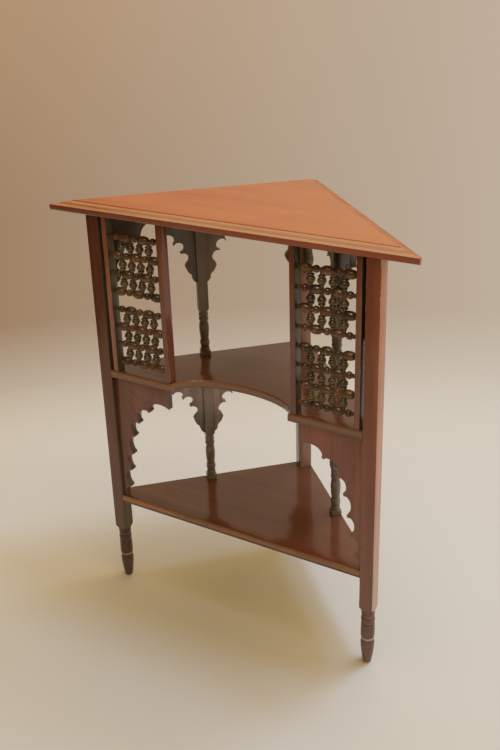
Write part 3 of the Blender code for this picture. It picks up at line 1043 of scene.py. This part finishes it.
def makeAprons(look):
    for side, node in ((-1, "left_apron"), (1, "right_apron")):
        low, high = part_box(node)
        outline = scallops(high.x - low.x, high.z - low.z, apronShares, look)
        shape = scallopedBoard(outline, high.y - low.y, look["arris"])
        mesh = shapeMesh(node, shape)
        start = low.x if side < 0 else high.x
        corner = Vector((start, (low.y + high.y) / 2, high.z))
        mesh.transform(boardPlace(Vector((-side, 0, 0)), corner))
        # the scallops' cut edges take the dark wood as painted shade
        for face in mesh.polygons:
            if abs(face.normal.y) < look["flatFrom"]:
                face.material_index = 1
        dressPiece(node, mesh, ["frameWood", "carvedWood"], "up", 30)


def trimFront(mesh, depth):  # cut off square behind a front leg
    shape = bmesh.new()
    shape.from_mesh(mesh)
    cutOff(shape, (0, depth, 0), (0, -1, 0))
    bmesh.ops.recalc_face_normals(shape, faces=shape.faces)
    shape.to_mesh(mesh)
    shape.free()


def makeBracket(node, side, heading, look):
    low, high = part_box(node)
    thickness = look["thickness"]
    if node.endswith("front_leg"):
        likeLow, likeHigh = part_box(node.replace("front_leg", "post_front"))
    else:
        likeLow, likeHigh = low, high
    reach = (likeHigh.x - likeLow.x) * rootTwo - thickness
    along = Vector((-side, 1, 0)).normalized()
    middle = (likeLow + likeHigh) / 2
    start = middle - along * heading * reach / 2
    shares = lowerBracketShares if "lower" in node else bracketShares
    outline = scallops(reach, high.z - low.z, shares, look)
    if node.endswith("front_leg"):
        leg = Vector((side * legLow.x, frontPlane + legSquare + gap, 0))
        start += along * (leg - start).dot(along)
        drop = high.z - low.z
        outline = outline[1:-1] + [(0, -drop), (-thickness, -drop), (-thickness, 0)]
    shape = scallopedBoard(outline, thickness, look["arris"])
    mesh = shapeMesh(node, shape)
    start.z = high.z
    mesh.transform(boardPlace(along * heading, start))
    if node.endswith("front_leg"):
        trimFront(mesh, frontPlane + legSquare + gap)
    finishes = carvedFinishes(node, mesh, turnedLook["outerFrom"])
    dressPiece(node, mesh, finishes, "up", 30)


makeAprons(apronLook)
for word, side in (("left", -1), ("right", 1)):
    for tier in ("upper", "lower"):
        for spot, heading in (("front_leg", 1), ("post_front", -1), ("post_back", 1), ("back_leg", -1)):
            makeBracket(f"{word}_{tier}_bracket_{spot}", side, heading, bracketLook)
print("aprons and brackets made")


# Panel stiles
stileLook = {
    "arris": 0.0008,
    "sideFrom": 0.9,  # least share of a side face's normal along X
}


def makeStile(node, look):
    low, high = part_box(node)
    outline = [(low.x, low.y), (high.x, low.y), (high.x, high.y), (low.x, high.y)]
    shape = extrudedShape(outline, low.z, high.z)
    soften(shape, sharpEdges(shape), look["arris"])
    mesh = shapeMesh(node, shape)
    outward = 1 if node.startswith("right") else -1
    ways = (outward, -outward) if "outer" in node else (outward,)
    for face in mesh.polygons:
        if any(face.normal.x * way > look["sideFrom"] for way in ways):
            face.material_index = 1
    dressPiece(node, mesh, ["frameWood", "shadedWood"])


for side in ("left", "right"):
    for place in ("inner", "outer"):
        makeStile(f"{side}_{place}_stile", stileLook)
print("stiles made")


# Turned lattice, one tree for every row
latticeLook = {
    "rows": 8,
    "beads": 5,
    "pitchShare": 0.1864,  # bead to bead, over the length of a row
    "rodRadius": 0.0033,
    "longShare": 1.16,  # length of a bead, over the pitch
    "longRadius": 0.0072,
    "roundShare": 0.53,
    "roundRadius": 0.0057,
    "bobbinNeck": 0.0029,
    "bobbinRadius": 0.0068,
    "bobbinLength": 0.0150,
    "socketFloor": 0.0008,  # of a bobbin's socket, above the axis of the row below
    "sides": 24,
    "bareRows": (4, 8),  # rows with no bobbins under them
}
longSteps = [
    (-0.500, 0.36, 0),
    (-0.485, 0.46, 0),
    (-0.455, 0.46, 0),
    (-0.445, 0.40, 0),
    (0.445, 0.40, 0.60),
    (0.455, 0.46, 0),
    (0.485, 0.46, 0),
    (0.500, 0.36, 0),
]
roundSteps = [
    (-0.50, 0.50, 0),
    (-0.44, 0.60, 0),
    (0.44, 0.60, 0.40),
    (0.50, 0.50, 0),
]
bobbinSteps = [
    (-0.50, 0.45, 0),
    (-0.47, 0.62, 0),
    (-0.40, 0.62, 0),
    (-0.37, 0.44, 0),
    (0.26, 0.44, 0.56),
    (0.29, 0.50, 0),
    (0.50, 0.50, 0.32),
    (0.52, 0.45, 0),
]


def turnedPart(name, points, sides, lying):
    mesh = shapeMesh(name, lathe(points, sides))
    if lying:
        mesh.transform(Matrix.Rotation(math.pi / 2, 4, "Y"))
    part = sceneObject(name, mesh)
    part.hide_render = True
    return part


def rowTree():  # beads along a rod, bobbins between them
    tree = bpy.data.node_groups.new("latticeRow", "GeometryNodeTree")
    tree.is_modifier = True
    tree.interface.new_socket("Geometry", in_out="OUTPUT", socket_type="NodeSocketGeometry")
    kinds = {
        "Bead count": "NodeSocketInt",
        "Bead pitch": "NodeSocketFloat",
        "First bead": "NodeSocketInt",
        "Bobbin count": "NodeSocketInt",
        "Bobbin drop": "NodeSocketFloat",
        "Rod": "NodeSocketObject",
        "Long bead": "NodeSocketObject",
        "Round bead": "NodeSocketObject",
        "Bobbin": "NodeSocketObject",
        "Row finish": "NodeSocketMaterial",
        "Bobbin finish": "NodeSocketMaterial",
    }
    for name, kind in kinds.items():
        tree.interface.new_socket(name, in_out="INPUT", socket_type=kind)
    sheet = NodeSheet(tree)
    inputs = tree.nodes.new("NodeGroupInput")

    def given(name):
        return Signal(sheet, inputs.outputs[name])

    def line(count, drop):
        end = (count - 1) * given("Bead pitch") / -2
        start = sheet.add("ShaderNodeCombineXYZ", {}, {"X": end, "Z": drop})
        offset = sheet.add("ShaderNodeCombineXYZ", {}, {"X": given("Bead pitch")})
        values = {"Count": count, "Start Location": start, "Offset": offset}
        return sheet.add("GeometryNodeMeshLine", {}, values)

    def placed(points, name, chosen):
        shape = sheet.add("GeometryNodeObjectInfo", {}, {"Object": given(name)}, "Geometry")
        values = {"Points": points, "Selection": chosen, "Instance": shape}
        return sheet.add("GeometryNodeInstanceOnPoints", {}, values)

    index = sheet.add("GeometryNodeInputIndex")
    isRound = (index + given("First bead")) % 2
    beadLine = line(given("Bead count"), 0)
    bobbinLine = line(given("Bobbin count"), given("Bobbin drop") * -1)
    rod = sheet.add("GeometryNodeObjectInfo", {}, {"Object": given("Rod")}, "Geometry")
    longBeads = placed(beadLine, "Long bead", 1 - isRound)
    roundBeads = placed(beadLine, "Round bead", isRound)
    bobbins = placed(bobbinLine, "Bobbin", True)
    settings = {"data_type": "BOOLEAN", "domain": "INSTANCE"}
    values = {"Geometry": bobbins, "Name": "isBobbin", "Value": True}
    marked = sheet.add("GeometryNodeStoreNamedAttribute", settings, values)
    beads = sheet.add("GeometryNodeJoinGeometry", {}, {"Geometry": [rod, longBeads, roundBeads]})
    everything = sheet.add("GeometryNodeJoinGeometry", {}, {"Geometry": [beads, marked]})
    real = sheet.add("GeometryNodeRealizeInstances", {}, {"Geometry": everything})
    hung = sheet.add("GeometryNodeInputNamedAttribute", {"data_type": "BOOLEAN"}, {"Name": "isBobbin"})
    row = sheet.add("GeometryNodeSetMaterial", {}, {"Geometry": real, "Material": given("Row finish")})
    values = {"Geometry": row, "Selection": hung, "Material": given("Bobbin finish")}
    dressed = sheet.add("GeometryNodeSetMaterial", {}, values)
    output = tree.nodes.new("NodeGroupOutput")
    tree.links.new(dressed.socket, output.inputs["Geometry"])
    return tree


def makeLattice(look):
    low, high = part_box("left_lattice_row_8")
    length = high.x - low.x
    pitch = length * look["pitchShare"]
    radius = look["longRadius"]
    lines = {
        "Rod": [(-length / 2, look["rodRadius"]), (length / 2, look["rodRadius"])],
        "Long bead": turnedLine(longSteps, pitch * look["longShare"], radius),
        "Round bead": turnedLine(roundSteps, pitch * look["roundShare"], look["roundRadius"]),
    }
    sides = look["sides"]
    lying = {name: turnedPart(name, line, sides, True) for name, line in lines.items()}
    firstTop, secondTop = [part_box(f"left_lattice_row_{number}")[1].z for number in (1, 2)]
    halfDrop = (firstTop - secondTop) / 2
    bobbinLine = [(gap + look["socketFloor"] - halfDrop, look["bobbinNeck"])]
    bobbinLine += turnedLine(bobbinSteps, look["bobbinLength"], look["bobbinRadius"])
    bobbinLine.append((halfDrop, look["bobbinNeck"]))
    bobbin = turnedPart("Bobbin", bobbinLine, sides, False)
    inner = [(-height, width) for height, width in reversed(bobbinLine[1:-1])]
    turnedOver = turnedPart("Turned over", bobbinLine[:1] + inner + bobbinLine[-1:], sides, False)
    tree = rowTree()
    sockets = {item.name: item.identifier for item in tree.interface.items_tree if item.in_out == "INPUT"}
    for word, isRight in (("left", False), ("right", True)):
        for number in range(1, look["rows"] + 1):
            node = f"{word}_lattice_row_{number}"
            low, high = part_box(node)
            holder = sceneObject(node + "Holder", bpy.data.meshes.new(node))
            modifier = holder.modifiers.new("row", "NODES")
            modifier.node_group = tree
            hasBobbins = number not in look["bareRows"]
            values = {
                **lying,
                "Bead count": look["beads"],
                "Bead pitch": pitch,
                "First bead": 0 if (number % 2 == 1) == isRight else 1,
                "Bobbin count": look["beads"] - 1 if hasBobbins else 0,
                "Bobbin drop": halfDrop,
                "Bobbin": bobbin if number % 2 else turnedOver,
                "Row finish": woods["beadWood"],
                "Bobbin finish": woods["bobbinWood"],
            }
            for name, value in values.items():
                modifier[sockets[name]] = value
            mesh = bakedMesh(holder)
            bpy.data.objects.remove(holder)
            middle = (low + high) / 2
            mesh.transform(Matrix.Translation((middle.x, middle.y, high.z - radius)))
            dressPiece(node, mesh, ["beadWood"], "across", 40)
    for part in (*lying.values(), bobbin, turnedOver):
        bpy.data.objects.remove(part)


makeLattice(latticeLook)
print("lattice made, pieces in all:", pieceCount)


# Floor, light and camera
stageLook = {
    "floorColour": (0.612, 0.607, 0.607),
    "farColour": (0.582, 0.572, 0.565),
    "wallLeft": (0.332, 0.208, 0.114),
    "wallRight": (0.53, 0.442, 0.350),
    "wallTop": 1.30,
    "sweepLeft": (0.66, 0.585, 0.480),
    "sweepRight": (0.67, 0.62, 0.54),
    "room": (0.060, 0.036, 0.022),
    "radius": 3.4,
    "edgeSoftness": 0.5,
    "clearRim": 0.05,
    "floorCloud": 1.2,
    "sideTurn": (-0.30, 0.30),  # left wall to right wall, as the cosine of a direction
    "wallRise": (-0.26, -0.06),
    "sweepDip": (0.36, 0.48),
    "frontTurn": (-0.45, 0.35),
    "frontLean": 0.6,
    "beyondTable": 0.95,  # where the floor has faded out, along the camera's way
    "ambient": (0.878, 0.593, 0.224),
    "ambientLean": 0.85,  # how much more of it comes from the right and behind than from the front
    "leanWay": (0.8, 0.6, 0),
}
cameraLook = {
    "place": (0.7439, -1.28205, 1.1008),
    "yaw": math.radians(31.28),
    "pitch": math.radians(23.71),
    "roll": math.radians(-1.62),
    "lens": 46.64,
    "shiftX": -0.0059,
    "shiftY": -0.0315,
}
rightWay = (math.cos(cameraLook["yaw"]), math.sin(cameraLook["yaw"]), 0)  # level, to the camera's right
awayWay = (-math.sin(cameraLook["yaw"]), math.cos(cameraLook["yaw"]), 0)  # level, away from the camera
lampShared = {"aim": (0, 0, 0.35), "colour": (0.374, 0.649, 1)}
lampLooks = {
    "ceilingLamp": {"place": (0.6, 0.2, 2.8), "size": 0.45, "power": 24.0},
    "secondLamp": {"place": (0.7, 0.9, 2.6), "size": 0.45, "power": 10.8},
    "skyLamp": {"place": (0.45, 0.1, 2.7), "size": 1.6, "power": 13.5},
    "backLamp": {"place": (1.2, 1.8, 2.0), "size": 1.6, "power": 5.3},
    "leftLamp": {"place": (-1.5, 2.2, 2.0), "size": 1.6, "power": 3.5},
    "shineLamp": {
        "place": (0.2, -1.1, 2.5),
        "size": 0.5,
        "power": 22,
        "colour": (1, 0.86, 0.68),
        "shines": True,  # seen in gloss alone
    },
}


def makeFloor(look):
    centre = Vector(awayWay) * (look["beyondTable"] - look["radius"])
    shape = bmesh.new()
    bmesh.ops.create_circle(shape, cap_ends=True, segments=128, radius=look["radius"])
    bmesh.ops.translate(shape, verts=shape.verts, vec=centre)
    mesh = shapeMesh("floor", shape)
    material, sheet, shader = newMaterial("floorPaper")
    output = material.node_tree.nodes["Material Output"]
    place = sheet.add("ShaderNodeTexCoord", {}, {}, "Object")
    settings = {"operation": "DISTANCE"}
    fromCentre = sheet.add("ShaderNodeVectorMath", settings, {0: place, 1: centre}, "Value")
    inner = look["radius"] - look["edgeSoftness"]
    fade = sheet.ramp(fromCentre, inner, look["radius"] - look["clearRim"])
    soft = sheet.noise(place, look["floorCloud"], 2)
    colour = sheet.blend(soft, look["floorColour"], look["farColour"])
    sheet.feed(shader.inputs["Base Color"], colour)
    shader.inputs["Roughness"].default_value = 0.9
    shader.inputs["Specular IOR Level"].default_value = 0.1
    clear = sheet.add("ShaderNodeBsdfTransparent")
    shown = Signal(sheet, shader.outputs["BSDF"])
    mixed = sheet.add("ShaderNodeMixShader", {}, {0: fade, 1: shown, 2: clear})
    sheet.feed(output.inputs["Surface"], mixed)
    mesh.materials.append(material)
    sceneObject("floor", mesh)


def makeWorld(look):
    world = bpy.data.worlds.new("studio")
    bpy.context.scene.world = world
    world.use_nodes = True
    sheet = NodeSheet(world.node_tree)
    world.node_tree.nodes.clear()
    direction = sheet.add("ShaderNodeTexCoord", {}, {}, "Generated")
    upWay = (0, 0, 1)

    def lean(way):
        settings = {"operation": "DOT_PRODUCT"}
        return sheet.add("ShaderNodeVectorMath", settings, {0: direction, 1: way}, "Value")

    side = sheet.ramp(lean(rightWay), *look["sideTurn"])
    topLeft = tuple(value * look["wallTop"] for value in look["wallLeft"])
    rise = sheet.ramp(lean(upWay), *look["wallRise"])
    wallLeft = sheet.blend(rise, look["wallLeft"], topLeft)
    wall = sheet.blend(side, wallLeft, look["wallRight"])
    sweep = sheet.blend(side, look["sweepLeft"], look["sweepRight"])
    wall = sheet.blend(sheet.ramp(lean(upWay) * -1, *look["sweepDip"]), wall, sweep)
    front = sheet.ramp(lean(rightWay) * look["frontLean"] + lean(awayWay), *look["frontTurn"])
    wall = sheet.blend(front, look["room"], wall)
    kinds = ("Is Camera Ray", "Is Glossy Ray", "Is Transmission Ray")
    camera, glossy, clear = [sheet.add("ShaderNodeLightPath", {}, {}, kind) for kind in kinds]
    seen = sheet.ramp(camera + glossy + clear, 0, 1)
    backdrop = sheet.add("ShaderNodeBackground", {}, {"Color": wall, "Strength": 1})
    strength = lean(look["leanWay"]) * look["ambientLean"] + 1
    values = {"Color": (*look["ambient"], 1), "Strength": strength}
    ambient = sheet.add("ShaderNodeBackground", {}, values)
    mixed = sheet.add("ShaderNodeMixShader", {}, {0: seen, 1: ambient, 2: backdrop})
    sheet.add("ShaderNodeOutputWorld", {}, {"Surface": mixed})


def makeLamp(name, look):
    light = bpy.data.lights.new(name, "AREA")
    light.shape = "SQUARE"
    light.size = look["size"]
    light.energy = look["power"]
    light.color = look.get("colour", lampShared["colour"])
    lamp = sceneObject(name, light)
    place = Vector(look["place"])
    lamp.location = place
    lamp.visible_glossy = look.get("shines", False)
    lamp.visible_diffuse = not lamp.visible_glossy
    lamp.rotation_euler = (Vector(lampShared["aim"]) - place).to_track_quat("-Z", "Y").to_euler()


def makeCamera(look):
    pitch, roll = look["pitch"], look["roll"]
    ahead = Vector(awayWay) * math.cos(pitch) - Vector((0, 0, math.sin(pitch)))
    level = Vector(rightWay)
    upwards = level.cross(ahead)
    right = math.cos(roll) * level + math.sin(roll) * upwards
    top = math.cos(roll) * upwards - math.sin(roll) * level
    data = bpy.data.cameras.new("photoCamera")
    data.sensor_width = 36
    data.lens = look["lens"]
    data.shift_x = look["shiftX"]
    data.shift_y = look["shiftY"]
    data.clip_start = 0.05
    camera = sceneObject("photoCamera", data)
    turn = Matrix((right, top, -ahead)).transposed().to_4x4()
    camera.matrix_world = Matrix.Translation(look["place"]) @ turn
    bpy.context.scene.camera = camera


makeFloor(stageLook)
makeWorld(stageLook)
for lampName, lampLook in lampLooks.items():
    makeLamp(lampName, lampLook)
makeCamera(cameraLook)
bpy.context.scene.view_settings.view_transform = "Standard"
print("stage made")
